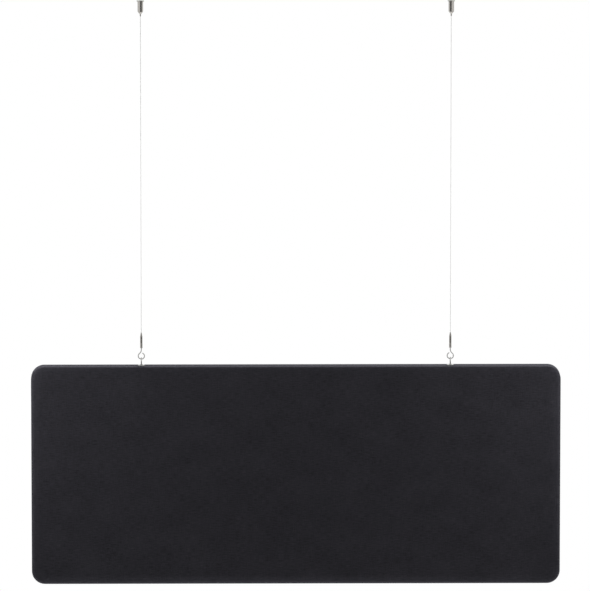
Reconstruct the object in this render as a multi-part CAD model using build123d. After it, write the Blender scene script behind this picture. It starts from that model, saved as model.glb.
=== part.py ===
from build123d import *
import os
from math import atan2, cos, pi, radians, sin, tan

# A fabric-covered acoustic panel that hangs from the ceiling on two steel wires.
# X runs along the panel, the front faces -Y and Z is up. All sizes are in millimetres.
# The origin lies on the ceiling plane, midway between the two wire grippers.

# Panel
panel_width = 1200.0
panel_height = 500.0
panel_thickness = 50.0
corner_radius = 30.0
edge_radius = 10.0
wire_spacing = 700.0

# Fabric cover, padding and timber frame
cover_thickness = 1.2
cover_ease = 0.2
wadding_thickness = 6.0
layer_gap = 0.1
rail_width = 45.0
glue_gap = 0.1
core_gap = 0.3
dowel_radius = 4.0
dowel_length = 50.0
dowel_spacing = 24.0
dowel_gap = 0.1
dowel_end_gap = 0.5

# Ceiling base
disc_radius = 8.5
disc_thickness = 2.5
stud_hole_radius = 2.55
stud_hole_depth = 8.0
disc_chamfer = 0.5
boss_radius = 5.0
thread_gap = 0.05

# Gripper housing
housing_radius = 6.35
housing_length = 23.0
nose_length = 5.0
nose_tip_radius = 2.1
housing_chamfer = 0.6
cone_half_angle = 10.0
cone_height = 12.0
mouth_length = 2.5
mouth_gap = 0.15

# Clamping balls and release plunger
ball_radius = 1.2
ball_count = 3
ball_bands = 5
ball_pole_angle = 80.0
ball_gap = 0.04
ball_rise = 1.5
cage_radius = 2.4
cage_above_ball = 2.4
cage_below_ball = 2.2
plunger_bore_gap = 0.3
nozzle_radius = 1.5
nozzle_length = 5.5
nozzle_tip_radius = 1.25
nozzle_taper = 2.0
flange_radius = 3.4
flange_thickness = 1.0
flange_rise = 4.0
stub_radius = 1.9
stub_length = 2.0
plunger_travel = 2.5
stub_end_gap = 4.0

# Gripper spring
spring_radius = 2.75
spring_wire = 0.5
spring_end_gap = 0.05

# Wire
wire_radius = 0.6
wire_length = 720.5
wire_end_length = 24.0
stop_radius = 1.5
stop_length = 5.0

# Terminal and hook socket
terminal_radius = 2.5
terminal_nose_length = 9.0
terminal_nose_radius = 1.0
terminal_body_length = 16.0
terminal_neck_length = 13.5
terminal_bore_gap = 0.1
stop_gap = 0.4
stop_seat_gap = 0.1
socket_radius = 2.8
socket_length = 10.4
socket_chamfer = 0.4
spigot_length = 4.5
spigot_gap = 0.05
shank_seat_depth = 8.0
shank_gap = 0.05

# Hook
hook_wire_radius = 1.15
hook_ring_radius = 7.0
hook_bend_radius = 12.0
hook_shank_length = 3.4
hook_tip_angle = 65.0
hook_bands = 24
wire_sides = 12

# Eye bolt, washer and threaded insert
link_gap = 0.3
eye_wire_radius = 1.3
eye_ring_radius = 6.8
eye_bands = 12
shoulder_radius = 3.4
shoulder_height = 1.8
shoulder_overlap = 0.6
bolt_radius = 2.4
bolt_length = 20.0
washer_radius = 8.0
washer_thickness = 1.6
washer_chamfer = 0.5
washer_gap = 0.2
insert_radius = 4.5
insert_length = 15.0
insert_gap = 0.1
insert_bore_gap = 0.1
bolt_hole_gap = 0.4
bolt_hole_end = 2.0
cover_hole_gap = 0.6

# Heights of the gripper, from the ceiling down
housing_top = -disc_thickness
housing_shoulder = housing_top - housing_length
housing_tip = housing_shoulder - nose_length
nozzle_mouth = housing_tip - nozzle_length
ball_height = housing_shoulder + ball_rise
flange_bottom = ball_height + flange_rise
flange_top = flange_bottom + flange_thickness
boss_bottom = flange_top + stub_length + plunger_travel + stub_end_gap

# Heights of the wire's lower end and the hook
terminal_top = nozzle_mouth - wire_length
terminal_shoulder = terminal_top - terminal_nose_length
terminal_bottom = terminal_shoulder - terminal_body_length
neck_bottom = terminal_top - terminal_neck_length
stop_top = neck_bottom - stop_seat_gap
socket_bottom = terminal_bottom - socket_length
bend_top = socket_bottom - hook_shank_length
bend_reach = hook_ring_radius + hook_bend_radius
bend_drop = (bend_reach ** 2 - hook_bend_radius ** 2) ** 0.5
hook_centre = bend_top - bend_drop
hook_bottom = hook_centre - hook_ring_radius

# Heights of the eye and the panel
eye_top = hook_bottom + hook_wire_radius + link_gap + eye_wire_radius
eye_centre = eye_top - eye_ring_radius
shoulder_top = eye_centre - eye_ring_radius - eye_wire_radius + shoulder_overlap
shoulder_bottom = shoulder_top - shoulder_height
panel_top = shoulder_bottom - washer_thickness
panel_bottom = panel_top - panel_height
panel_middle = (panel_top + panel_bottom) / 2

# Places inside the panel
filling_inset = cover_thickness + cover_ease
frame_depth = panel_thickness - 2 * (filling_inset + wadding_thickness + layer_gap)
frame_top = panel_top - filling_inset
frame_half_width = panel_width / 2 - filling_inset
frame_half_height = panel_height / 2 - filling_inset
opening_half_width = frame_half_width - rail_width
opening_half_height = frame_half_height - rail_width
stile_centre = frame_half_width - rail_width / 2

# The balls touch the wire on one side and the cone on the other, each with a small gap.
ball_circle = wire_radius + ball_gap + ball_radius
cone_at_ball = ball_circle + (ball_radius + ball_gap) / cos(radians(cone_half_angle))
cone_slope = tan(radians(cone_half_angle))
mouth_radius = nozzle_radius + mouth_gap


def turned(profile):
    """A solid turned about Z from a closed profile of (radius, height) points."""
    outline = Polyline(*profile, close=True)
    return revolve(Plane.XZ * make_face(outline), Axis.Z)


def rod(radius, bottom, top):
    """An upright cylinder on Z between two heights."""
    return Pos(0, 0, (bottom + top) / 2) * Cylinder(radius, top - bottom)


def edges_at(solid, radius, height):
    """The round edges of a turned solid that have this radius and height."""
    circles = solid.edges().filter_by(GeomType.CIRCLE)
    level = [e for e in circles if abs(e.center().Z - height) < 0.01]
    return [e for e in level if abs(e.radius - radius) < 0.01]


def ceiling_base():
    """Disc against the ceiling, with a threaded boss below it and a blind threaded hole above."""
    disc = rod(disc_radius, -disc_thickness, 0)
    disc = chamfer(edges_at(disc, disc_radius, -disc_thickness), disc_chamfer)
    boss = rod(boss_radius - thread_gap, boss_bottom, -disc_thickness)
    return disc + boss - rod(stud_hole_radius, -stud_hole_depth, 0)


def cone_radius(height):
    """Radius of the gripper's inner cone at a height."""
    return cone_at_ball + (height - ball_height) * cone_slope


def gripper_housing():
    """Turned housing: a threaded socket, a spring chamber and a cone that narrows towards the mouth."""
    cone_top = housing_shoulder + cone_height
    cone_bottom = housing_tip + mouth_length
    profile = [
        (boss_radius, housing_top),
        (housing_radius, housing_top),
        (housing_radius, housing_shoulder),
        (nose_tip_radius, housing_tip),
        (mouth_radius, housing_tip),
        (mouth_radius, cone_bottom),
        (cone_radius(cone_bottom), cone_bottom),
        (cone_radius(cone_top), cone_top),
        (cone_radius(cone_top), boss_bottom),
        (boss_radius, boss_bottom),
    ]
    body = turned(profile)
    return chamfer(edges_at(body, housing_radius, housing_shoulder), housing_chamfer)


def release_plunger():
    """Hollow plunger: nozzle, ball cage with a hole for each ball, spring flange and stub."""
    bore_radius = wire_radius + plunger_bore_gap
    cage_bottom = ball_height - cage_below_ball
    cage_top = ball_height + cage_above_ball
    profile = [
        (bore_radius, nozzle_mouth),
        (nozzle_tip_radius, nozzle_mouth),
        (nozzle_radius, nozzle_mouth + nozzle_taper),
        (nozzle_radius, cage_bottom),
        (cage_radius, cage_bottom),
        (cage_radius, cage_top),
        (stub_radius, cage_top),
        (stub_radius, flange_bottom),
        (flange_radius, flange_bottom),
        (flange_radius, flange_top),
        (stub_radius, flange_top),
        (stub_radius, flange_top + stub_length),
        (bore_radius, flange_top + stub_length),
    ]
    body = turned(profile)
    hole = Rot(0, 90, 0) * Cylinder(ball_radius + ball_gap, cage_radius + 1,
                                    align=(Align.CENTER, Align.CENTER, Align.MIN))
    for turn in range(ball_count):
        body -= Pos(0, 0, ball_height) * Rot(0, 0, turn * 360 / ball_count) * hole
    return body


def small_ball(radius):
    """Ball of few facets: flat bands between twelve-sided rings, with a small flat at each pole."""
    step = 2 * ball_pole_angle / ball_bands
    angles = [radians(step * band - ball_pole_angle) for band in range(ball_bands + 1)]
    rings = [Pos(0, 0, radius * sin(a)) * RegularPolygon(radius * cos(a), wire_sides) for a in angles]
    return loft(rings, ruled=True)


def clamping_balls():
    """The steel balls between the wire and the cone, as separate solids."""
    ball = Pos(ball_circle, 0, ball_height) * small_ball(ball_radius)
    return Compound([Rot(0, 0, turn * 360 / ball_count) * ball for turn in range(ball_count)])


def gripper_spring():
    """Compression spring between the plunger's flange and the ceiling base, as its outer sleeve."""
    low = flange_top + spring_end_gap
    high = boss_bottom - spring_end_gap
    outside = rod(spring_radius + spring_wire / 2, low, high)
    return outside - rod(spring_radius - spring_wire / 2, low, high)


def wire_held_end():
    """The end of the wire that the balls hold inside the gripper."""
    bottom = nozzle_mouth + wire_radius + ball_gap
    return rod(wire_radius, bottom, nozzle_mouth + wire_end_length)


def wire():
    """The taut wire from the nozzle's mouth down to its stop."""
    return rod(wire_radius, stop_top, nozzle_mouth)


def wire_stop():
    """The nipple swaged on the wire's lower end, on which the terminal hangs and turns."""
    return rod(stop_radius, stop_top - stop_length, stop_top)


def terminal():
    """Slim turned barrel with a tapered nose, hollow below its neck for the wire stop."""
    cavity_radius = stop_radius + stop_gap
    profile = [
        (wire_radius + terminal_bore_gap, terminal_top),
        (terminal_nose_radius, terminal_top),
        (terminal_radius, terminal_shoulder),
        (terminal_radius, terminal_bottom),
        (cavity_radius, terminal_bottom),
        (cavity_radius, neck_bottom),
        (wire_radius + terminal_bore_gap, neck_bottom),
    ]
    return turned(profile)


def hook_socket():
    """Lower end of the terminal: a spigot screwed into the barrel, bored for the hook's shank."""
    sleeve = rod(socket_radius, socket_bottom, terminal_bottom)
    sleeve = chamfer(sleeve.edges().filter_by(GeomType.CIRCLE), socket_chamfer)
    spigot_radius = stop_radius + stop_gap - spigot_gap
    spigot = rod(spigot_radius, terminal_bottom - socket_chamfer, terminal_bottom + spigot_length)
    shank_hole = rod(hook_wire_radius + shank_gap, socket_bottom, socket_bottom + shank_seat_depth)
    return sleeve + spigot - shank_hole


def bent_wire(path, across, radius, bands, straight=0.0):
    """Wire along a flat path whose first share is straight, in short bands that keep its facets few.

    across is the direction that is square to the path's plane.
    """
    places = [straight + (1 - straight) * step / bands for step in range(bands + 1)]
    if straight > 0:
        places.insert(0, 0.0)
    section = RegularPolygon(radius, wire_sides)
    sections = [Plane(path @ place, x_dir=across, z_dir=path % place) * section for place in places]
    return loft(sections, ruled=True)


def hook():
    """Open hook of one round wire: a shank, an outward bend and a ring that stops short of it."""
    meet_angle = atan2(bend_drop, -hook_bend_radius)
    tip_angle = 2 * pi + radians(hook_tip_angle)
    middle_angle = (meet_angle + tip_angle) / 2

    def on_ring(angle):
        return Vector(hook_ring_radius * cos(angle), 0, hook_centre + hook_ring_radius * sin(angle))

    bend_start = Vector(0, 0, bend_top)
    half_bend = (pi - meet_angle) / 2
    bend_middle = Vector(
        hook_bend_radius * (cos(half_bend) - 1), 0, bend_top - hook_bend_radius * sin(half_bend)
    )
    bend = ThreePointArc(bend_start, bend_middle, on_ring(meet_angle))
    ring = ThreePointArc(on_ring(meet_angle), on_ring(middle_angle), on_ring(tip_angle))
    shank_top = socket_bottom + shank_seat_depth - shank_gap
    path = Wire([Line((0, 0, shank_top), bend_start), bend, ring])
    shank_share = (shank_top - bend_top) / path.length
    return bent_wire(path, (0, 1, 0), hook_wire_radius, hook_bands, shank_share)


def eye_bolt():
    """Closed ring on a shouldered bolt."""
    centre = Vector(0, 0, eye_centre)
    ring = Plane(centre, x_dir=(0, 1, 0), z_dir=(1, 0, 0))
    shoulder = rod(shoulder_radius, shoulder_bottom, shoulder_top)
    shoulder = chamfer(edges_at(shoulder, shoulder_radius, shoulder_top), shoulder_overlap)
    solid = shoulder + rod(bolt_radius, shoulder_bottom - bolt_length, shoulder_bottom)
    for start in (0, 180):
        half = ring * CenterArc((0, 0), eye_ring_radius, start, 180)
        solid += bent_wire(half, (1, 0, 0), eye_wire_radius, eye_bands)
    return solid


def washer():
    """Bright washer that spreads the eye's load on the panel's top edge."""
    disc = rod(washer_radius, panel_top, shoulder_bottom)
    disc = chamfer(edges_at(disc, washer_radius, shoulder_bottom), washer_chamfer)
    return disc - rod(bolt_radius + washer_gap, panel_top, shoulder_bottom)


def threaded_insert():
    """Threaded insert in the top rail that takes the eye bolt."""
    sleeve = rod(insert_radius, frame_top - insert_length, frame_top)
    bore = rod(bolt_radius + insert_bore_gap, frame_top - insert_length, frame_top)
    return sleeve - bore


def panel_blank(inset):
    """The panel's rounded outer form, drawn in by an inset on every side."""
    outline = RectangleRounded(
        panel_width - 2 * inset, panel_height - 2 * inset, corner_radius - inset
    )
    depth = panel_thickness - 2 * inset
    block = Pos(0, depth / 2, panel_middle) * extrude(Plane.XZ * outline, depth)
    faces = block.faces().filter_by(Axis.Y)
    return fillet(faces.edges(), edge_radius - inset)


def slice_of(blank, near, far, bottom, top):
    """The part of a blank between two depths in Y and two heights."""
    keep = Box(panel_width, far - near, top - bottom)
    return blank & Pos(0, (near + far) / 2, (bottom + top) / 2) * keep


def cover(front):
    """One half of the fabric cover, open at the seam round the middle of the panel's edge."""
    near = -panel_thickness / 2 if front else 0
    half = slice_of(panel_blank(0), near, near + panel_thickness / 2, panel_bottom, panel_top)
    shell = half - panel_blank(cover_thickness)
    for x in (-wire_spacing / 2, wire_spacing / 2):
        hole = rod(bolt_radius + cover_hole_gap, panel_top - 2 * cover_thickness, panel_top + 1)
        shell -= Pos(x, 0, 0) * hole
    return shell


def wadding(front):
    """Soft layer between the frame and one face of the cover."""
    outer = panel_thickness / 2 - filling_inset
    inner = outer - wadding_thickness
    near, far = (-outer, -inner) if front else (inner, outer)
    return slice_of(panel_blank(filling_inset), near, far, panel_bottom, panel_top)


def frame_blank():
    """Outer form of the timber frame and its core."""
    half = frame_depth / 2
    return slice_of(panel_blank(filling_inset), -half, half, panel_bottom, panel_top)


def dowel_places():
    """Centre of each dowel, on the joints between the rails and the stiles."""
    places = []
    for x in (-stile_centre, stile_centre):
        for z in (panel_middle + opening_half_height, panel_middle - opening_half_height):
            for offset in (-dowel_spacing / 2, dowel_spacing / 2):
                places.append((x + offset, z))
    return places


def dowel_holes():
    """Drillings for the dowels, a little wider and longer than they are."""
    reach = dowel_length / 2 + dowel_end_gap
    return [Pos(x, 0, z) * rod(dowel_radius + dowel_gap, -reach, reach) for x, z in dowel_places()]


def frame_dowels():
    """The eight dowels of the frame's corner joints, as separate solids."""
    half = dowel_length / 2
    return Compound([Pos(x, 0, z) * rod(dowel_radius, -half, half) for x, z in dowel_places()])


def rail(top):
    """Top or bottom rail, with the frame's rounded corners, drilled for dowels and inserts."""
    edge = panel_middle + (opening_half_height if top else -opening_half_height)
    bottom, ceiling = (edge, panel_top) if top else (panel_bottom, edge)
    timber = slice_of(frame_blank(), -frame_depth, frame_depth, bottom, ceiling)
    timber -= dowel_holes()
    if top:
        bolt_end = shoulder_bottom - bolt_length - bolt_hole_end
        for x in (-wire_spacing / 2, wire_spacing / 2):
            seat = rod(insert_radius + insert_gap, frame_top - insert_length - insert_gap, frame_top)
            drilling = rod(bolt_radius + bolt_hole_gap, bolt_end, frame_top)
            timber -= Pos(x, 0, 0) * (seat + drilling)
    return timber


def stile(side):
    """Left or right stile between the rails, drilled for dowels."""
    height = 2 * (opening_half_height - glue_gap)
    timber = frame_blank() & Pos(side * stile_centre, 0, panel_middle) * Box(
        rail_width, frame_depth, height
    )
    return timber - dowel_holes()


def acoustic_core():
    """Absorber slab that fills the frame's opening."""
    return Pos(0, 0, panel_middle) * Box(
        2 * (opening_half_width - core_gap), frame_depth, 2 * (opening_half_height - core_gap)
    )


def suspension():
    """The pieces of one wire, drawn on the origin's vertical axis."""
    return {
        "ceiling_base": ceiling_base(),
        "gripper_housing": gripper_housing(),
        "release_plunger": release_plunger(),
        "clamping_balls": clamping_balls(),
        "gripper_spring": gripper_spring(),
        "wire_held_end": wire_held_end(),
        "wire": wire(),
        "wire_stop": wire_stop(),
        "terminal": terminal(),
        "hook_socket": hook_socket(),
        "hook": hook(),
        "eye_bolt": eye_bolt(),
        "washer": washer(),
        "threaded_insert": threaded_insert(),
    }


def assembly():
    """Every sub-part by name, in place."""
    pieces = {
        "front_cover": cover(True),
        "rear_cover": cover(False),
        "front_wadding": wadding(True),
        "rear_wadding": wadding(False),
        "top_rail": rail(True),
        "bottom_rail": rail(False),
        "left_stile": stile(-1),
        "right_stile": stile(1),
        "frame_dowels": frame_dowels(),
        "acoustic_core": acoustic_core(),
    }
    half_spacing = wire_spacing / 2
    for name, piece in suspension().items():
        pieces["left_" + name] = Pos(-half_spacing, 0, 0) * piece
        pieces["right_" + name] = Pos(half_spacing, 0, 0) * Rot(0, 0, 180) * piece
    return pieces


os.makedirs("parts", exist_ok=True)
for name, piece in assembly().items():
    export_step(piece, f"parts/{name}.step")
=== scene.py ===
import bpy
import bmesh
from math import atan2, cos, pi, radians, sin, sqrt, tanh
from mathutils import Matrix, Vector, noise


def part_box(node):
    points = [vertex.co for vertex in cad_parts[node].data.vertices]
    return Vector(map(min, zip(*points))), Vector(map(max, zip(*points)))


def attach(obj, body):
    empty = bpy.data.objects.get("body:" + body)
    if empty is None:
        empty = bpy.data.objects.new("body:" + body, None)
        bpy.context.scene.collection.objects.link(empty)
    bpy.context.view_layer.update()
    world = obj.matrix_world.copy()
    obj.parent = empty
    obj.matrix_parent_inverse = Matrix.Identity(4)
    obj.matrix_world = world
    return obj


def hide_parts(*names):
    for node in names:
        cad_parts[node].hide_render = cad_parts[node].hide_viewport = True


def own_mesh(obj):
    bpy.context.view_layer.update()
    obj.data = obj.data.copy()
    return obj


# A charcoal, fabric-covered acoustic panel that hangs on two stranded wires. Lengths are in metres.
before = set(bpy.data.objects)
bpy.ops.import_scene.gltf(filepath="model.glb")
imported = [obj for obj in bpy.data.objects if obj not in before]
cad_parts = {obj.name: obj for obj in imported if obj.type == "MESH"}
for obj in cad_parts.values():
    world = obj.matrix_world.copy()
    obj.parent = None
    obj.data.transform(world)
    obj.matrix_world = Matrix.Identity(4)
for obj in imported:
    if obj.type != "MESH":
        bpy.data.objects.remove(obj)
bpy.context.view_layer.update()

MM = 0.001
SIDES = {"left": -1, "right": 1}


def measure(node):
    """Radius, bottom and top of an upright turned node, in millimetres."""
    low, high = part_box(node)
    return (high.x - low.x) / 2 / MM, low.z / MM, high.z / MM


# Panel
panel_low, panel_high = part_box("front_cover")
half_width = panel_high[0]
half_depth = -panel_low[1]
panel_top = panel_high[2]
panel_middle = (panel_top + panel_low[2]) / 2
half_height = panel_top - panel_middle
corner_radius = 30 * MM
edge_radius = 10 * MM

# Cover: cloth drawn over wadding, fuller on its face than at its edges
cloth_thickness = 1.2 * MM
thread_spacing = 0.9 * MM
cover_grid = 5 * MM
crown_height = 1.6 * MM
crown_run = edge_radius * 2
edge_swell = 0.5 * MM

# Unevenness of the cover: its depth, its waves to the metre, and a seed. The gathers lie beside the seam
slack = (0.22 * MM, 9, 7.3)
ripple = (0.05 * MM, 40, 3.1)
gather = (0.3 * MM, 85, 0.7)
gather_reach = 9 * MM

# Seam round the middle of the panel's edge, where the cloth rolls in between the two covers.
# Each row is the inset, the depth from the seam's plane, and the cloth's length past the straight wall.
seam_depth = 1.1 * MM
seam_roll = 3 * MM
seam_profile = (
    (seam_depth, 0.15 * MM, seam_depth),
    (0.35 * MM, 0.4 * MM, 0),
    (0.06 * MM, 1.3 * MM, -1.3 * MM),
    (0, seam_roll, -seam_roll),
)

# Dent that each washer presses into the cloth of the top edge
dent_depth = 0.25 * MM
dent_reach = 5 * MM
dent_band = 3 * MM

# Wires, which leave the nozzles' mouths and run taut down into the terminals
wire_reach = 350 * MM
nozzle_mouth = -36 * MM
wire_bottom = -770.1 * MM
wire_diameter = 1.2 * MM
wire_lay = 9 * MM

# Ceiling base and gripper shell, in millimetres
disc_radius, boss_bottom, disc_top = measure("left_ceiling_base")
disc_thickness = 2.5
disc_bottom = disc_top - disc_thickness
boss_radius = 4.95
thread_gap = 0.05
stud_hole_radius = 2.55
stud_hole_depth = 8.0
shell_radius, shell_tip, shell_top = measure("left_gripper_housing")
shell_chamfer = 0.4
shell_nose_length = 5.0
shell_shoulder = shell_tip + shell_nose_length
shell_tip_radius = 2.1
mouth_radius = 1.65
mouth_top = shell_tip + 2.5
cone_low_radius = 2.394
cone_high_radius = 4.95
cone_top = shell_shoulder + 12.0

# Terminal and hook socket, in millimetres
barrel_radius, barrel_bottom, barrel_top = measure("left_terminal")
nose_length = 9.0
nose_tip_radius = 1.0
barrel_bore = 0.7
cavity_radius = 1.9
cavity_top = barrel_top - 13.5
sleeve_radius, sleeve_bottom, spigot_top = measure("left_hook_socket")
spigot_radius = 1.85
shank_hole_radius = 1.2
shank_hole_top = sleeve_bottom + 8.0

# Washer and the eye's bolt, in millimetres
washer_radius = 8.0
washer_bottom = panel_top / MM
washer_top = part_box("left_washer")[1][2] / MM
bolt_radius = 2.4
bolt_gap = 0.2
bolt_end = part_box("left_eye_bolt")[0][2] / MM
bolt_point_inset = 0.4
bolt_point_length = 0.5
shoulder_radius = 3.4
shoulder_top = washer_top + 1.2
neck_radius = 1.5
neck_middle = shoulder_top + 0.8
neck_tip_radius = 1.1
neck_top = shoulder_top + 1.4

# Hook and eye ring, in metres again
hook_wire_radius = 1.15 * MM
hook_ring_radius = 7 * MM
hook_bend_radius = 12 * MM
hook_tip_angle = radians(65)
hook_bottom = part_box("left_hook")[0][2] + hook_wire_radius
hook_centre = hook_bottom + hook_ring_radius
shank_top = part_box("left_hook")[1][2]
eye_wire_radius = 1.3 * MM
eye_ring_radius = 6.8 * MM
eye_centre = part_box("left_eye_bolt")[1][2] - eye_wire_radius - eye_ring_radius

# Spring between the plunger's flange and the ceiling base
flange_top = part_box("left_gripper_spring")[0][2]
spring_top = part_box("left_gripper_spring")[1][2]
spring_radius = 2.75 * MM
spring_wire_radius = 0.25 * MM
spring_turns = 6


def linear(code):
    """Linear colour of an sRGB hex code."""
    channels = [int(code[i:i + 2], 16) / 255 for i in (1, 3, 5)]
    return [c / 12.92 if c <= 0.04045 else ((c + 0.055) / 1.055) ** 2.4 for c in channels] + [1.0]


def add(tree, kind, inputs=None, **settings):
    """Adds a node with its settings. An input that is a socket is linked, any other is set."""
    node = tree.nodes.new(kind)
    for name, value in settings.items():
        setattr(node, name, value)
    for name, value in (inputs or {}).items():
        if isinstance(value, bpy.types.NodeSocket):
            tree.links.new(value, node.inputs[name])
        else:
            node.inputs[name].default_value = value
    return node


def new_material(name):
    """A material and its node tree, still empty."""
    material = bpy.data.materials.new(name)
    material.use_nodes = True
    material.node_tree.nodes.clear()
    return material, material.node_tree


def marks_on(tree, point, marks):
    """Mottle from about 0 to 1 for each mark: its spots' sizes in metres, its detail and its roughness."""
    mottles = []
    for sizes, detail, roughness in marks:
        per_spot = [1 / size for size in sizes]
        spots = add(tree, "ShaderNodeVectorMath", {0: point, 1: per_spot}, operation="MULTIPLY").outputs[0]
        look = {"Vector": spots, "Scale": 1.0, "Detail": detail, "Roughness": roughness}
        mottles.append(add(tree, "ShaderNodeTexNoise", look).outputs[0])
    return mottles


def charcoal_woven_polyester():
    """Heathered upholstery cloth: a matt plain weave with thicker yarns that run across it."""
    material, tree = new_material("charcoal_woven_polyester")
    point = add(tree, "ShaderNodeUVMap", uv_map="cloth").outputs[0]
    per_thread = (1 / thread_spacing, 1 / thread_spacing, 0)
    counted = add(tree, "ShaderNodeVectorMath", {0: point, 1: per_thread}, operation="MULTIPLY").outputs[0]
    across = add(tree, "ShaderNodeSeparateXYZ", {0: counted})
    rounds = []
    for axis in (0, 1):
        turn = add(tree, "ShaderNodeMath", {0: across.outputs[axis], 1: pi}, operation="MULTIPLY").outputs[0]
        wave = add(tree, "ShaderNodeMath", {0: turn}, operation="SINE").outputs[0]
        rounds.append(add(tree, "ShaderNodeMath", {0: wave}, operation="ABSOLUTE").outputs[0])
    over = add(tree, "ShaderNodeTexChecker", {"Vector": counted, "Scale": 1.0}).outputs[1]
    weave = add(tree, "ShaderNodeMix", {0: over, 2: rounds[0], 3: rounds[1]}, data_type="FLOAT").outputs[0]

    # Slubs in the yarns across and along the cloth, the fine heather, and a cloud as wide as a hand
    slub, warp_slub, heather, cloud = marks_on(tree, point, [
        ((14 * MM, 1.8 * MM, 1), 3.0, 0.6),
        ((1.8 * MM, 22 * MM, 1), 2.0, 0.5),
        ((2.4 * MM, 1.2 * MM, 1), 2.0, 0.7),
        ((90 * MM, 60 * MM, 1), 2.0, 0.5),
    ])
    yarn = add(tree, "ShaderNodeMath", {0: slub, 1: 0.42}, operation="MULTIPLY").outputs[0]
    for mark, share in ((warp_slub, 0.16), (heather, 0.28), (cloud, 0.14)):
        yarn = add(tree, "ShaderNodeMath", {0: mark, 1: share, 2: yarn}, operation="MULTIPLY_ADD").outputs[0]
    spread = add(tree, "ShaderNodeMapRange", {0: yarn, 1: 0.34, 2: 0.66, 3: 0.0, 4: 1.0}).outputs[0]
    tones = {0: spread, 6: linear("#1b1b1e"), 7: linear("#343338")}
    colour = add(tree, "ShaderNodeMix", tones, data_type="RGBA").outputs[2]
    height = add(tree, "ShaderNodeMath", {0: slub, 1: 1.2, 2: weave}, operation="MULTIPLY_ADD").outputs[0]
    relief = {"Height": height, "Distance": 0.25 * MM, "Strength": 0.5}
    normal = add(tree, "ShaderNodeBump", relief).outputs[0]
    shader = add(tree, "ShaderNodeBsdfPrincipled", {
        "Base Color": colour, "Normal": normal, "Roughness": 0.92, "Specular IOR Level": 0.08,
        "Sheen Weight": 0.05, "Sheen Roughness": 0.5, "Sheen Tint": linear("#b9b7c4"),
    })
    add(tree, "ShaderNodeOutputMaterial", {"Surface": shader.outputs[0]})
    return material


def turned_metal(name, dark, light, roughness, ring_width):
    """Plated steel turned on a lathe: fine rings round it, of that width, and a slightly cloudy plate."""
    material, tree = new_material(name)
    point = add(tree, "ShaderNodeTexCoord").outputs["Object"]
    rings, cloud = marks_on(tree, point, [
        ((40 * MM, 40 * MM, ring_width), 1.0, 0.4),
        ((3 * MM, 3 * MM, 4 * MM), 2.0, 0.5),
    ])
    blend = add(tree, "ShaderNodeMath", {0: rings, 1: 0.45}, operation="MULTIPLY").outputs[0]
    blend = add(tree, "ShaderNodeMath", {0: cloud, 1: 0.55, 2: blend}, operation="MULTIPLY_ADD").outputs[0]
    tones = {0: blend, 6: linear(dark), 7: linear(light)}
    colour = add(tree, "ShaderNodeMix", tones, data_type="RGBA").outputs[2]
    spread = {0: cloud, 1: 0.3, 2: 0.7, 3: roughness * 0.85, 4: roughness * 1.2}
    gloss = add(tree, "ShaderNodeMapRange", spread).outputs[0]
    relief = {"Height": rings, "Distance": 0.02 * MM, "Strength": 0.3}
    normal = add(tree, "ShaderNodeBump", relief).outputs[0]
    surface = {"Base Color": colour, "Metallic": 1.0, "Roughness": gloss, "Normal": normal}
    shader = add(tree, "ShaderNodeBsdfPrincipled", surface)
    add(tree, "ShaderNodeOutputMaterial", {"Surface": shader.outputs[0]})
    return material


def drawn_metal(name, dark, light, roughness):
    """Drawn and plated steel wire: smooth, with a faint mottle where the plate varies."""
    material, tree = new_material(name)
    point = add(tree, "ShaderNodeTexCoord").outputs["Object"]
    cloud, = marks_on(tree, point, [((1.5 * MM, 1.5 * MM, 2.5 * MM), 3.0, 0.6)])
    tones = {0: cloud, 6: linear(dark), 7: linear(light)}
    colour = add(tree, "ShaderNodeMix", tones, data_type="RGBA").outputs[2]
    spread = {0: cloud, 1: 0.3, 2: 0.7, 3: roughness * 0.8, 4: roughness * 1.25}
    gloss = add(tree, "ShaderNodeMapRange", spread).outputs[0]
    relief = {"Height": cloud, "Distance": 0.01 * MM, "Strength": 0.3}
    normal = add(tree, "ShaderNodeBump", relief).outputs[0]
    surface = {"Base Color": colour, "Metallic": 1.0, "Roughness": gloss, "Normal": normal}
    shader = add(tree, "ShaderNodeBsdfPrincipled", surface)
    add(tree, "ShaderNodeOutputMaterial", {"Surface": shader.outputs[0]})
    return material


def planed_timber(name, dark, light, grain):
    """Planed softwood or turned beech, with its growth lines along the longest of these sizes."""
    material, tree = new_material(name)
    point = add(tree, "ShaderNodeTexCoord").outputs["Object"]
    pore_sizes = [size / 6 for size in grain]
    lines, pores = marks_on(tree, point, [(grain, 3.0, 0.55), (pore_sizes, 2.0, 0.6)])
    blend = add(tree, "ShaderNodeMath", {0: pores, 1: 0.25}, operation="MULTIPLY").outputs[0]
    blend = add(tree, "ShaderNodeMath", {0: lines, 1: 0.75, 2: blend}, operation="MULTIPLY_ADD").outputs[0]
    spread = add(tree, "ShaderNodeMapRange", {0: blend, 1: 0.35, 2: 0.65}).outputs[0]
    tones = {0: spread, 6: linear(dark), 7: linear(light)}
    colour = add(tree, "ShaderNodeMix", tones, data_type="RGBA").outputs[2]
    relief = {"Height": pores, "Distance": 0.1 * MM, "Strength": 0.4}
    normal = add(tree, "ShaderNodeBump", relief).outputs[0]
    surface = {"Base Color": colour, "Roughness": 0.62, "Normal": normal}
    shader = add(tree, "ShaderNodeBsdfPrincipled", surface)
    add(tree, "ShaderNodeOutputMaterial", {"Surface": shader.outputs[0]})
    return material


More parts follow.
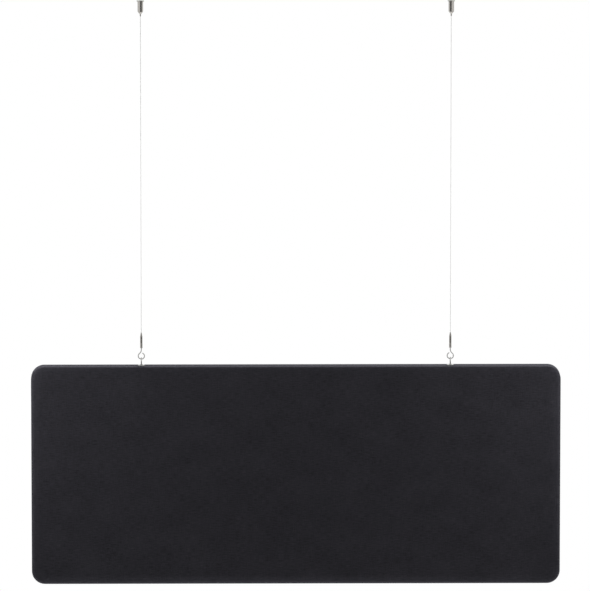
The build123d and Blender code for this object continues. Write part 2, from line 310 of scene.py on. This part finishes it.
def loose_fibre(name, dark, light, tuft):
    """Bonded fibre: a matt, tangled surface in tufts of that size."""
    material, tree = new_material(name)
    point = add(tree, "ShaderNodeTexCoord").outputs["Object"]
    tufts, fibres = marks_on(tree, point, [
        ((tuft, tuft, tuft), 4.0, 0.65),
        ((tuft * 2, tuft / 8, tuft / 4), 2.0, 0.6),
    ])
    blend = add(tree, "ShaderNodeMath", {0: fibres, 1: 0.4}, operation="MULTIPLY").outputs[0]
    blend = add(tree, "ShaderNodeMath", {0: tufts, 1: 0.6, 2: blend}, operation="MULTIPLY_ADD").outputs[0]
    tones = {0: blend, 6: linear(dark), 7: linear(light)}
    colour = add(tree, "ShaderNodeMix", tones, data_type="RGBA").outputs[2]
    relief = {"Height": blend, "Distance": 1.0 * MM, "Strength": 0.6}
    normal = add(tree, "ShaderNodeBump", relief).outputs[0]
    surface = {"Base Color": colour, "Roughness": 0.95, "Normal": normal}
    shader = add(tree, "ShaderNodeBsdfPrincipled", surface)
    add(tree, "ShaderNodeOutputMaterial", {"Surface": shader.outputs[0]})
    return material


def new_piece(name, mesh):
    """An object at the origin that shows a mesh."""
    piece = bpy.data.objects.new(name, mesh)
    bpy.context.scene.collection.objects.link(piece)
    return piece


def finished_mesh(name, shape, material, smooth_angle=35):
    """Turns a bmesh into a closed, outward-facing mesh that is smooth but for its sharp edges."""
    bmesh.ops.remove_doubles(shape, verts=shape.verts, dist=1e-7)
    bmesh.ops.recalc_face_normals(shape, faces=shape.faces)
    for face in shape.faces:
        face.smooth = True
    for edge in shape.edges:
        edge.smooth = edge.calc_face_angle(0) < radians(smooth_angle)
    mesh = bpy.data.meshes.new(name)
    shape.to_mesh(mesh)
    shape.free()
    mesh.materials.append(material)
    return mesh


def rounded(corners, steps=4):
    """A closed outline in metres. Each corner is a radius, a height and a rounding in millimetres."""
    outline = []
    for index, (x, z, rounding) in enumerate(corners):
        corner = Vector((x, z))
        if not rounding:
            outline.append(corner * MM)
            continue
        before = Vector(corners[index - 1][:2])
        after = Vector(corners[(index + 1) % len(corners)][:2])
        start = corner + (before - corner).normalized() * rounding
        end = corner + (after - corner).normalized() * rounding
        for step in range(steps + 1):
            t = step / steps
            outline.append((start * (1 - t) ** 2 + corner * 2 * t * (1 - t) + end * t ** 2) * MM)
    return outline


def turn_outline(shape, outline, x, segments=48):
    """Adds the solid that a closed outline makes when it is turned about an upright axis."""
    rings = []
    for point in outline:
        on_axis = point.x <= 1e-9
        turns = [2 * pi * i / segments for i in range(1 if on_axis else segments)]
        rings.append([shape.verts.new((x + point.x * cos(a), point.x * sin(a), point.y)) for a in turns])
    for ring, following in zip(rings, rings[1:] + rings[:1]):
        if len(ring) == len(following) == 1:
            continue
        for i in range(segments):
            j = (i + 1) % segments
            quad = [ring[i % len(ring)], ring[j % len(ring)], following[j % len(following)],
                    following[i % len(following)]]
            corners = list(dict.fromkeys(quad))
            if len(corners) > 2:
                shape.faces.new(corners)


def turned_piece(name, x, material, corners):
    """A lathe-turned piece, from corners in millimetres."""
    shape = bmesh.new()
    turn_outline(shape, rounded(corners), x)
    return new_piece(name, finished_mesh(name, shape, material))


def join_rings(shape, rings, closed=False):
    """Adds the walls between rings of points that lie along a line, and its two flat ends."""
    sides = len(rings[0])
    for ring, following in zip(rings, rings[1:] + rings[:1] if closed else rings[1:]):
        for k in range(sides):
            j = (k + 1) % sides
            shape.faces.new((ring[k], ring[j], following[j], following[k]))
    if not closed:
        shape.faces.new(rings[0])
        shape.faces.new(rings[-1])


def sweep_round(shape, line, radii, across, closed=False):
    """Adds a round tube along a flat line, with a radius at each point. across is square to its plane."""
    sides = 20
    count = len(line)
    turns = [2 * pi * k / sides for k in range(sides)]
    rings = []
    for i, (point, radius) in enumerate(zip(line, radii)):
        if closed:
            way = line[(i + 1) % count] - line[i - 1]
        else:
            way = line[min(i + 1, count - 1)] - line[max(i - 1, 0)]
        out = across.cross(way.normalized())
        rings.append([shape.verts.new(point + (out * cos(a) + across * sin(a)) * radius) for a in turns])
    join_rings(shape, rings, closed)


# Camera: level with the upper part of the picture, far off and a little to the left
picture_width = 590
focal_pixels = 7854
look_down = 8.649
look_right = 0.61
camera = bpy.data.objects.new("camera", bpy.data.cameras.new("camera"))
bpy.context.scene.collection.objects.link(camera)
camera.data.sensor_fit = "HORIZONTAL"
camera.data.sensor_width = 36
camera.data.lens = focal_pixels / picture_width * camera.data.sensor_width
camera.data.clip_end = 100
camera.location = (-0.189, -17.572, 2.001)
camera.rotation_euler = (radians(90 - look_down), 0, radians(-look_right))
bpy.context.scene.camera = camera


# Finishes. The lathe's rings are drawn coarser than real ones, so that they show close up
lathe_ring = 0.3 * MM
# Heathered charcoal polyester, matt, with a plain weave
cloth = charcoal_woven_polyester()
# Satin nickel plate over a turned housing: mid grey, with soft upright reflections
nickel = turned_metal("satin_nickel_turned", "#a5a29d", "#bdbab5", 0.24, lathe_ring)
# Black nickel barrel: the darkest of the metal pieces
dark_nickel = turned_metal("dark_nickel_turned", "#77746f", "#918e89", 0.26, lathe_ring)
# Zinc-plated wire of the hook and the eye: paler than the barrel, cool grey
zinc = drawn_metal("zinc_plated_wire", "#acacaa", "#c8c7c4", 0.3)
# Bright zinc washer, which is nearly white from above
bright_zinc = turned_metal("bright_zinc_washer", "#a4a4a2", "#bebebc", 0.22, 0.4 * MM)
# Galvanised strands that look almost white in the light
strand_steel = drawn_metal("galvanised_strand", "#e6e6e4", "#f4f4f2", 0.5)
# Polished balls, which mirror what is round them
ball_steel = drawn_metal("polished_bearing_steel", "#bdbdbd", "#cacaca", 0.08)
# Spring steel, dark with oil
spring_steel = drawn_metal("oiled_spring_steel", "#6f6e6c", "#83827f", 0.32)
# Brass inserts, bright yellow and fresh from the lathe
brass = turned_metal("machined_brass", "#b0924f", "#c7aa66", 0.28, lathe_ring)
# Planed pine, straw-coloured, with its growth lines along each rail or stile
pine_across = planed_timber("planed_pine_rail", "#b98f58", "#dcbd88", (220 * MM, 9 * MM, 7 * MM))
pine_upright = planed_timber("planed_pine_stile", "#b98f58", "#dcbd88", (7 * MM, 9 * MM, 220 * MM))
# Beech dowels, redder and finer than the pine
beech = planed_timber("turned_beech", "#a9764c", "#c99a6c", (4 * MM, 4 * MM, 60 * MM))
# White wadding, soft and tufted
wadding = loose_fibre("polyester_wadding", "#cfcfcb", "#efefec", 6 * MM)
# Mineral wool, matt and mustard-coloured, in larger tufts
mineral_wool = loose_fibre("bonded_mineral_wool", "#9a8c55", "#c6b987", 9 * MM)


def rope_tree():
    """Geometry Nodes that lay six strands round a straight one along the object's own line."""
    strands = 6
    strand_sides = 6
    steps_per_turn = 12.0
    tree = bpy.data.node_groups.new("strands_round_a_core", "GeometryNodeTree")
    interface = tree.interface
    interface.new_socket("Line", in_out="INPUT", socket_type="NodeSocketGeometry")
    for name, value in (("Diameter", wire_diameter), ("Lay", wire_lay)):
        socket = interface.new_socket(name, in_out="INPUT", socket_type="NodeSocketFloat")
        socket.default_value = value
    interface.new_socket("Metal", in_out="INPUT", socket_type="NodeSocketMaterial")
    interface.new_socket("Rope", in_out="OUTPUT", socket_type="NodeSocketGeometry")
    given = add(tree, "NodeGroupInput").outputs
    step = add(tree, "ShaderNodeMath", {0: given["Lay"], 1: steps_per_turn}, operation="DIVIDE").outputs[0]
    line = add(tree, "GeometryNodeResampleCurve", {"Curve": given["Line"], "Length": step}, mode="LENGTH")
    travelled = add(tree, "GeometryNodeSplineParameter").outputs["Length"]
    turns = add(tree, "ShaderNodeMath", {0: travelled, 1: given["Lay"]}, operation="DIVIDE").outputs[0]
    tilt = add(tree, "ShaderNodeMath", {0: turns, 1: 2 * pi}, operation="MULTIPLY").outputs[0]
    laid = add(tree, "GeometryNodeSetCurveTilt", {"Curve": line.outputs[0], "Tilt": tilt}).outputs[0]
    # A strand is a third of the wire across, and so are the core and the circle's radius
    strand = add(tree, "ShaderNodeMath", {0: given["Diameter"], 1: 6.0}, operation="DIVIDE").outputs[0]
    circle = add(tree, "ShaderNodeMath", {0: given["Diameter"], 1: 3.0}, operation="DIVIDE").outputs[0]
    round_strand = {"Resolution": strand_sides, "Radius": strand}
    section = add(tree, "GeometryNodeCurvePrimitiveCircle", round_strand).outputs[0]
    round_core = {"Resolution": strands, "Radius": circle}
    places = add(tree, "GeometryNodeCurvePrimitiveCircle", round_core).outputs[0]
    points = add(tree, "GeometryNodeCurveToPoints", {"Curve": places}, mode="EVALUATED").outputs[0]
    outer = add(tree, "GeometryNodeInstanceOnPoints", {"Points": points, "Instance": section}).outputs[0]
    outer = add(tree, "GeometryNodeRealizeInstances", {0: outer}).outputs[0]
    both = add(tree, "GeometryNodeJoinGeometry")
    tree.links.new(outer, both.inputs[0])
    tree.links.new(section, both.inputs[0])
    swept = {"Curve": laid, "Profile Curve": both.outputs[0], "Fill Caps": True}
    rope = add(tree, "GeometryNodeCurveToMesh", swept).outputs[0]
    rope = add(tree, "GeometryNodeRealizeInstances", {0: rope}).outputs[0]
    rope = add(tree, "GeometryNodeSetMaterial", {"Geometry": rope, "Material": given["Metal"]}).outputs[0]
    add(tree, "NodeGroupOutput", {0: rope})
    return tree


def wire_line(side, x):
    """The taut wire's own line, from the nozzle's mouth down to the stop in its terminal."""
    runs = 4
    curve = bpy.data.curves.new(side + "_wire_line", "CURVE")
    curve.dimensions = "3D"
    spline = curve.splines.new("NURBS")
    spline.points.add(runs)
    for i, point in enumerate(spline.points):
        height = nozzle_mouth + (wire_bottom - nozzle_mouth) * i / runs
        point.co = (x, 0, height, 1)
    spline.order_u = 3
    spline.use_endpoint_u = True
    return new_piece(side + "_wire_line", curve)


def stranded_wire(side, x, tree):
    """A mesh of the wire's strands, and the points that it follows."""
    line = wire_line(side, x)
    plain = bpy.data.meshes.new_from_object(line.evaluated_get(bpy.context.evaluated_depsgraph_get()))
    path = [tuple(vertex.co) for vertex in plain.vertices]
    bpy.data.meshes.remove(plain)
    modifier = line.modifiers.new("strands", "NODES")
    modifier.node_group = tree
    sockets = {item.name: item.identifier for item in tree.interface.items_tree}
    modifier[sockets["Diameter"]] = wire_diameter
    modifier[sockets["Lay"]] = wire_lay
    modifier[sockets["Metal"]] = strand_steel
    mesh = bpy.data.meshes.new_from_object(line.evaluated_get(bpy.context.evaluated_depsgraph_get()))
    mesh.name = side + "_stranded_wire"
    bpy.data.objects.remove(line)
    mesh.shade_smooth()
    return new_piece(side + "_stranded_wire", mesh), path


def hook_line():
    """Points of the hook's centreline on the origin's axis: shank, outward bend, ring and tip."""
    bend_reach = hook_ring_radius + hook_bend_radius
    bend_drop = sqrt(bend_reach ** 2 - hook_bend_radius ** 2)
    bend_top = hook_centre + bend_drop
    meet_angle = atan2(bend_drop, -hook_bend_radius)
    tip_angle = 2 * pi + hook_tip_angle
    line = [Vector((0, 0, shank_top)), Vector((0, 0, (shank_top + bend_top) / 2))]
    bend_steps = 12
    for step in range(bend_steps):
        turn = (pi - meet_angle) * step / bend_steps
        line.append(Vector((hook_bend_radius * (cos(turn) - 1), 0, bend_top - hook_bend_radius * sin(turn))))
    ring_steps = 56
    for step in range(ring_steps + 1):
        turn = meet_angle + (tip_angle - meet_angle) * step / ring_steps
        line.append(Vector((hook_ring_radius * cos(turn), 0, hook_centre + hook_ring_radius * sin(turn))))
    return line


def rounded_end(line, radius, steps=5, flatness=0.9):
    """The line with a dome's rings added past its end, and the radius at each of its points."""
    way = (line[-1] - line[-2]).normalized()
    radii = [radius] * len(line)
    end = line[-1]
    dome = []
    for step in range(1, steps + 1):
        # The last ring stays just short of the pole, so that it still has a width
        angle = pi / 2 * step / (steps + 0.2)
        dome.append(end + way * radius * flatness * sin(angle))
        radii.append(radius * cos(angle))
    return line + dome, radii


def bent_hook(side, sign):
    """Open wire hook. It opens towards the other one."""
    line, radii = rounded_end(hook_line(), hook_wire_radius)
    line = [Vector((sign * (wire_reach - point.x), 0, point.z)) for point in line]
    shape = bmesh.new()
    sweep_round(shape, line, radii, Vector((0, 1, 0)))
    return new_piece(side + "_bent_hook", finished_mesh(side + "_bent_hook", shape, zinc))


def ring_eye(side, x):
    """Eye bolt: a closed ring that flares into a shouldered bolt."""
    steps = 72
    turns = [2 * pi * i / steps for i in range(steps)]
    ring = [Vector((x, eye_ring_radius * cos(a), eye_centre + eye_ring_radius * sin(a))) for a in turns]
    shape = bmesh.new()
    sweep_round(shape, ring, [eye_wire_radius] * steps, Vector((1, 0, 0)), closed=True)
    corners = [
        (0, bolt_end, 0), (bolt_radius - bolt_point_inset, bolt_end, 0),
        (bolt_radius, bolt_end + bolt_point_length, 0), (bolt_radius, washer_top, 0),
        (shoulder_radius, washer_top, 0.2), (shoulder_radius, shoulder_top, 0.5),
        (neck_radius, neck_middle, 0.6), (neck_tip_radius, neck_top, 0), (0, neck_top, 0),
    ]
    turn_outline(shape, rounded(corners), x)
    return new_piece(side + "_ring_eye", finished_mesh(side + "_ring_eye", shape, zinc))


def spring_coil(side, x):
    """Round-wire compression spring between the plunger's flange and the ceiling base."""
    low = flange_top + spring_wire_radius
    high = spring_top - spring_wire_radius
    steps = 24
    sides = 8
    count = spring_turns * steps
    turns = [2 * pi * k / sides for k in range(sides)]
    shape = bmesh.new()
    rings = []
    for step in range(count + 1):
        angle = 2 * pi * step / steps
        out = Vector((cos(angle), sin(angle), 0))
        centre = Vector((x, 0, low + (high - low) * step / count)) + out * spring_radius
        spokes = [out * cos(a) + Vector((0, 0, sin(a))) for a in turns]
        rings.append([shape.verts.new(centre + spoke * spring_wire_radius) for spoke in spokes])
    join_rings(shape, rings)
    return new_piece(side + "_spring_coil", finished_mesh(side + "_spring_coil", shape, spring_steel, 60))


def mount(piece, body, nodes):
    """Lets a piece ride on its body and stand for its CAD nodes, which it hides."""
    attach(piece, body)
    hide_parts(*nodes)


def wire_and_terminal(side, sign, rope):
    """The taut wire, and on its lower end the turned terminal, its hook socket and the hook."""
    x = sign * wire_reach
    wire, path = stranded_wire(side, x, rope)
    barrel = turned_piece(side + "_terminal_barrel", x, dark_nickel, [
        (barrel_bore, barrel_top, 0), (nose_tip_radius, barrel_top, 0.12),
        (barrel_radius, barrel_top - nose_length, 0.8), (barrel_radius, barrel_bottom, 0.12),
        (cavity_radius, barrel_bottom, 0), (cavity_radius, cavity_top, 0), (barrel_bore, cavity_top, 0),
    ])
    socket = turned_piece(side + "_socket_sleeve", x, nickel, [
        (0, shank_hole_top, 0), (shank_hole_radius, shank_hole_top, 0),
        (shank_hole_radius, sleeve_bottom, 0), (sleeve_radius, sleeve_bottom, 0.4),
        (sleeve_radius, barrel_bottom, 0.4), (spigot_radius, barrel_bottom, 0),
        (spigot_radius, spigot_top, 0), (0, spigot_top, 0),
    ])
    hook = bent_hook(side, sign)
    mount(wire, side + "_wire", [side + "_wire"])
    mount(barrel, side + "_hook", [side + "_terminal"])
    mount(socket, side + "_hook", [side + "_hook_socket"])
    mount(hook, side + "_hook", [side + "_hook"])


def ceiling_gripper(side, x):
    """The ceiling base, and the housing that is screwed on to it with its spring inside."""
    disc = turned_piece(side + "_ceiling_disc", x, nickel, [
        (0, disc_top - stud_hole_depth, 0), (stud_hole_radius, disc_top - stud_hole_depth, 0),
        (stud_hole_radius, disc_top, 0.2), (disc_radius, disc_top, 0.3), (disc_radius, disc_bottom, 0.6),
        (boss_radius, disc_bottom, 0), (boss_radius, boss_bottom, 0.4), (0, boss_bottom, 0),
    ])
    shell = turned_piece(side + "_gripper_shell", x, nickel, [
        (boss_radius + thread_gap, shell_top, 0), (shell_radius - shell_chamfer, shell_top, 0),
        (shell_radius, shell_top - shell_chamfer, 0.2), (shell_radius, shell_shoulder, 0.9),
        (shell_tip_radius, shell_tip, 0.35), (mouth_radius, shell_tip, 0), (mouth_radius, mouth_top, 0),
        (cone_low_radius, mouth_top, 0), (cone_high_radius, cone_top, 0), (cone_high_radius, boss_bottom, 0),
        (boss_radius + thread_gap, boss_bottom, 0),
    ])
    coil = spring_coil(side, x)
    mount(disc, "ceiling_fixings", [side + "_ceiling_base"])
    mount(shell, "ceiling_fixings", [side + "_gripper_housing"])
    mount(coil, "ceiling_fixings", [side + "_gripper_spring"])
    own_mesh(coil)


def eye_and_washer(side, x):
    """The eye bolt in the panel's top edge, and the washer under its shoulder."""
    eye = ring_eye(side, x)
    washer = turned_piece(side + "_round_washer", x, bright_zinc, [
        (bolt_radius + bolt_gap, washer_bottom, 0), (washer_radius, washer_bottom, 0.3),
        (washer_radius, washer_top, 0.5), (bolt_radius + bolt_gap, washer_top, 0.2),
    ])
    mount(eye, "panel", [side + "_eye_bolt"])
    mount(washer, "panel", [side + "_washer"])


rope = rope_tree()
for side, sign in SIDES.items():
    wire_and_terminal(side, sign, rope)
    ceiling_gripper(side, sign * wire_reach)
    eye_and_washer(side, sign * wire_reach)


def outline_points(inset, columns, rows, arcs):
    """Points and outward ways of the panel's rounded outline, drawn in by an inset."""
    reach = (half_width - corner_radius, half_height - corner_radius)
    radius = corner_radius - inset
    points = []
    for quarter in range(4):
        angle = quarter * pi / 2
        out = Vector((round(cos(angle)), round(sin(angle))))
        along = Vector((-out.y, out.x))
        far, run = reach if quarter % 2 == 0 else reach[::-1]
        steps = rows if quarter % 2 == 0 else columns
        for i in range(steps):
            points.append((out * (far + radius) + along * run * (2 * i / steps - 1), out))
        for i in range(arcs):
            turned = Vector((cos(angle + pi / 2 * i / arcs), sin(angle + pi / 2 * i / arcs)))
            points.append((out * far + along * run + turned * radius, turned))
    return points


def cover_rings():
    """Inset, depth from the seam's plane and cloth length from the flat face, for each ring of a cover."""
    wall = half_depth - edge_radius
    bend = edge_radius * pi / 2
    rings = [(inset, depth, bend + wall + past) for inset, depth, past in seam_profile]
    wall_steps = 4
    for step in range(1, wall_steps):
        depth = seam_roll + (wall - seam_roll) * step / wall_steps
        rings.append((0, depth, bend + wall - depth))
    bend_steps = 8
    for step in range(bend_steps + 1):
        angle = pi / 2 * step / bend_steps
        inset = edge_radius * (1 - cos(angle))
        rings.append((inset, wall + edge_radius * sin(angle), bend * (1 - step / bend_steps)))
    flat_steps = 4
    for step in range(1, flat_steps + 1):
        inset = edge_radius + (corner_radius - edge_radius) * step / flat_steps
        rings.append((inset, half_depth, edge_radius - inset))
    return rings


def cover_sheet(facing):
    """One half of the cover as an open sheet, with its cloth lengths as UV. facing is -1 at the front."""
    columns = round(2 * (half_width - corner_radius) / cover_grid)
    rows = round(2 * (half_height - corner_radius) / cover_grid)
    arcs = 12
    shape = bmesh.new()
    across = shape.verts.layers.float.new("across")
    along = shape.verts.layers.float.new("along")
    rings = []
    for inset, depth, cloth_length in cover_rings():
        ring = []
        for point, out in outline_points(inset, columns, rows, arcs):
            vertex = shape.verts.new((point.x, facing * depth, panel_middle + point.y))
            laid = point + out * (inset - edge_radius + cloth_length)
            vertex[across], vertex[along] = laid
            ring.append(vertex)
        rings.append(ring)
    count = len(rings[0])
    for ring, following in zip(rings, rings[1:]):
        for i in range(count):
            j = (i + 1) % count
            shape.faces.new((ring[i], ring[j], following[j], following[i]))
    run_x = half_width - corner_radius
    run_z = half_height - corner_radius
    face = []
    for i in range(columns + 1):
        x = run_x * (2 * i / columns - 1)
        row = []
        for j in range(rows + 1):
            z = run_z * (2 * j / rows - 1)
            vertex = shape.verts.new((x, facing * half_depth, panel_middle + z))
            vertex[across], vertex[along] = x, z
            row.append(vertex)
        face.append(row)
    for left, right in zip(face, face[1:]):
        for j in range(rows):
            shape.faces.new((left[j], right[j], right[j + 1], left[j + 1]))
    bmesh.ops.remove_doubles(shape, verts=shape.verts, dist=1e-6)
    bmesh.ops.recalc_face_normals(shape, faces=shape.faces)
    face_centre = Vector((0, facing * half_depth, panel_middle))
    middle = min(shape.faces, key=lambda flat: (flat.calc_center_median() - face_centre).length)
    if middle.normal.y * facing < 0:
        bmesh.ops.reverse_faces(shape, faces=shape.faces)
    laid_out = shape.loops.layers.uv.new("cloth")
    for flat in shape.faces:
        flat.smooth = True
        for loop in flat.loops:
            loop[laid_out].uv = (loop.vert[across], loop.vert[along])
    mesh = bpy.data.meshes.new("cover_sheet")
    shape.to_mesh(mesh)
    shape.free()
    return mesh


def filled_sheet(mesh, frames=20):
    """How far the wadding pushes each point of the front cover out, from a cloth simulation."""
    stapled_band = 2 * MM
    sheet = new_piece("filled_sheet", mesh.copy())
    stapled = sheet.vertex_groups.new(name="seam")
    stapled.add([v.index for v in mesh.vertices if abs(v.co.y) < stapled_band], 1.0, "REPLACE")
    modifier = sheet.modifiers.new("filling", "CLOTH")
    settings = modifier.settings
    settings.vertex_group_mass = "seam"
    settings.use_pressure = True
    settings.uniform_pressure_force = 4
    settings.tension_stiffness = 60
    settings.compression_stiffness = 60
    settings.mass = 0.3
    settings.quality = 4
    settings.effector_weights.gravity = 0
    modifier.collision_settings.use_collision = False
    modifier.point_cache.frame_end = frames
    scene = bpy.context.scene
    for number in range(1, frames + 1):
        scene.frame_set(number)
    moved = sheet.evaluated_get(bpy.context.evaluated_depsgraph_get()).data
    pushes = []
    for start, end in zip(mesh.vertices, moved.vertices):
        pushes.append((end.co - start.co).dot(start.normal))
    scene.frame_set(1)
    bpy.data.objects.remove(sheet)
    return pushes


def unevenness(point, facing, kind):
    """How far one kind of unevenness moves a point of the cover that faces that way."""
    depth, waves, seed = kind
    return depth * noise.noise(Vector((point.x * waves, facing * seed, point.z * waves)))


def washer_hold(point):
    """How firmly a washer holds the cloth down, from 0 to 1."""
    if point.z <= panel_top - dent_band:
        return 0.0
    away = min(Vector((point.x - sign * wire_reach, point.y)).length for sign in SIDES.values())
    return min(1.0, max(0.0, (washer_radius * MM + dent_reach - away) / dent_reach))


def upholstered_cover(name, facing, pushes):
    """A cover drawn tight over its wadding: crowned face, soft edges and a seam round the middle."""
    mesh = cover_sheet(facing)
    mesh.name = name
    moves = []
    for vertex, push in zip(mesh.vertices, pushes):
        point = vertex.co
        depth = abs(point.y)
        from_edge = min(half_width - abs(point.x), half_height - abs(point.z - panel_middle))
        on_face = 0.0
        if depth > half_depth - edge_radius:
            on_face = min(1.0, max(0.0, from_edge / crown_run))
        limit = edge_swell + (crown_height - edge_swell) * on_face
        # The frame and the wadding keep the cloth from going in
        move = limit * tanh(max(push, 0) / limit)
        move += (unevenness(point, facing, slack) + unevenness(point, facing, ripple)) * on_face
        seam_share = max(0.0, 1 - depth / gather_reach)
        move += unevenness(point, facing, gather) * seam_share * min(1.0, depth / MM)
        hold = washer_hold(point)
        moves.append(vertex.normal * (move * (1 - hold) - dent_depth * hold))
    for vertex, move in zip(mesh.vertices, moves):
        vertex.co += move
    mesh.materials.append(cloth)
    piece = new_piece(name, mesh)
    wall = piece.modifiers.new("cloth_thickness", "SOLIDIFY")
    wall.thickness = cloth_thickness
    wall.offset = -1
    solid = bpy.data.meshes.new_from_object(piece.evaluated_get(bpy.context.evaluated_depsgraph_get()))
    piece.modifiers.remove(wall)
    piece.data = solid
    return piece


front_sheet = cover_sheet(-1)
pushes = filled_sheet(front_sheet)
for name, facing in (("front_cover", -1), ("rear_cover", 1)):
    cover = upholstered_cover(name + "_cloth", facing, pushes)
    mount(cover, "panel", [name])

# Pieces that keep their CAD form
finishes = {
    "front_wadding": wadding,
    "rear_wadding": wadding,
    "top_rail": pine_across,
    "bottom_rail": pine_across,
    "left_stile": pine_upright,
    "right_stile": pine_upright,
    "frame_dowels": beech,
    "acoustic_core": mineral_wool,
}
for side in SIDES:
    finishes[side + "_release_plunger"] = nickel
    finishes[side + "_clamping_balls"] = ball_steel
    finishes[side + "_wire_held_end"] = strand_steel
    finishes[side + "_wire_stop"] = spring_steel
    finishes[side + "_threaded_insert"] = brass
for node, finish in finishes.items():
    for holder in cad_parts[node].material_slots:
        holder.material = finish


def area_lamp(name, spot, aim, size, power):
    """A rectangular soft lamp that points at aim."""
    lamp = bpy.data.lights.new(name, "AREA")
    lamp.shape = "RECTANGLE"
    lamp.size, lamp.size_y = size
    lamp.energy = power
    holder = bpy.data.objects.new(name, lamp)
    holder.visible_camera = False
    holder.visible_glossy = False
    way = Vector(aim) - Vector(spot)
    holder.matrix_world = Matrix.Translation(spot) @ way.to_track_quat("-Z", "Y").to_matrix().to_4x4()
    bpy.context.scene.collection.objects.link(holder)


# The top edge is lit from above and behind, so that the front edge's rounding stays darker than the top
area_lamp("overhead_box", (0, 1.7, 0.4), (0, 0, -0.83), (3.0, 0.5), 180)
area_lamp("left_box", (-1.25, -0.5, -0.5), (-0.3, 0, -0.85), (0.3, 0.4), 13)
area_lamp("right_box", (1.25, -0.5, -0.5), (0.3, 0, -0.85), (0.3, 0.4), 13)
area_lamp("upper_box", (0, -0.45, -0.3), (0, 0, -0.9), (1.2, 0.2), 1.5)
# Low, left and right strips graze the panel's edges, whose rounding is a little paler than the face
area_lamp("low_strip", (0, -0.07, -1.9), (0, 0, -1.33), (1.6, 0.15), 14)
area_lamp("left_strip", (-1.6, -0.1, -1.0), (-0.6, 0, -1.08), (0.15, 0.8), 8)
area_lamp("right_strip", (1.6, -0.1, -1.0), (0.6, 0, -1.08), (0.15, 0.8), 6)

# World: white where the camera, gloss and glass look at it, and a level light on everything else
level_light = 0.09
world = bpy.data.worlds.new("studio")
bpy.context.scene.world = world
world.use_nodes = True
tree = world.node_tree
tree.nodes.clear()
rays = add(tree, "ShaderNodeLightPath").outputs
seen = rays["Is Camera Ray"]
for kind in ("Is Glossy Ray", "Is Transmission Ray"):
    seen = add(tree, "ShaderNodeMath", {0: seen, 1: rays[kind]}, operation="MAXIMUM").outputs[0]
strength = add(tree, "ShaderNodeMapRange", {0: seen, 1: 0.0, 2: 1.0, 3: level_light, 4: 1.0}).outputs[0]
background = add(tree, "ShaderNodeBackground", {"Color": (1, 1, 1, 1), "Strength": strength})
add(tree, "ShaderNodeOutputWorld", {"Surface": background.outputs[0]})


def studio_floor():
    """Pale floor far below the panel, which fades to plain white away from it."""
    height = -2.4
    radius = 9.0
    fade_start = 1.2
    fade_end = 3.5
    material, tree = new_material("pale_floor")
    paint = add(tree, "ShaderNodeBsdfPrincipled", {"Base Color": linear("#efefee"), "Roughness": 0.8})
    point = add(tree, "ShaderNodeTexCoord").outputs["Object"]
    flat = add(tree, "ShaderNodeVectorMath", {0: point, 1: (1, 1, 0)}, operation="MULTIPLY").outputs[0]
    away = add(tree, "ShaderNodeVectorMath", {0: flat}, operation="LENGTH").outputs[1]
    fade = add(tree, "ShaderNodeMapRange", {0: away, 1: fade_start, 2: fade_end}).outputs[0]
    white = add(tree, "ShaderNodeEmission", {"Strength": 1.0}).outputs[0]
    mixed = add(tree, "ShaderNodeMixShader", {0: fade, 1: paint.outputs[0], 2: white}).outputs[0]
    add(tree, "ShaderNodeOutputMaterial", {"Surface": mixed})
    shape = bmesh.new()
    bmesh.ops.create_circle(shape, cap_ends=True, segments=96, radius=radius,
                            matrix=Matrix.Translation((0, 0, height)))
    mesh = bpy.data.meshes.new("floor")
    shape.to_mesh(mesh)
    shape.free()
    mesh.materials.append(material)
    floor = new_piece("floor", mesh)
    floor.visible_diffuse = False
    floor.visible_shadow = False
    return floor


def dark_flag(name, reach, low, high):
    """Black card in front of the panel that only gloss sees: it draws the dark strip down the metal."""
    distance = -0.3
    material, tree = new_material("black_card")
    card = add(tree, "ShaderNodeBsdfPrincipled", {"Base Color": linear("#383838"), "Roughness": 0.9})
    add(tree, "ShaderNodeOutputMaterial", {"Surface": card.outputs[0]})
    shape = bmesh.new()
    corners = ((-reach, low), (reach, low), (reach, high), (-reach, high))
    shape.faces.new([shape.verts.new((x, distance, z)) for x, z in corners])
    mesh = bpy.data.meshes.new(name)
    shape.to_mesh(mesh)
    shape.free()
    mesh.materials.append(material)
    flag = new_piece(name, mesh)
    flag.visible_camera = False
    flag.visible_diffuse = False
    flag.visible_shadow = False
    return flag


# The upper card darkens the grippers and the lower one the terminals. Between them the wires stay pale
gripper_flag = dark_flag("gripper_flag", 0.42, -0.3, 0.15)
terminal_flag = dark_flag("terminal_flag", 0.65, -0.89, -0.78)
studio_floor()

bpy.context.scene.view_settings.view_transform = "Standard"
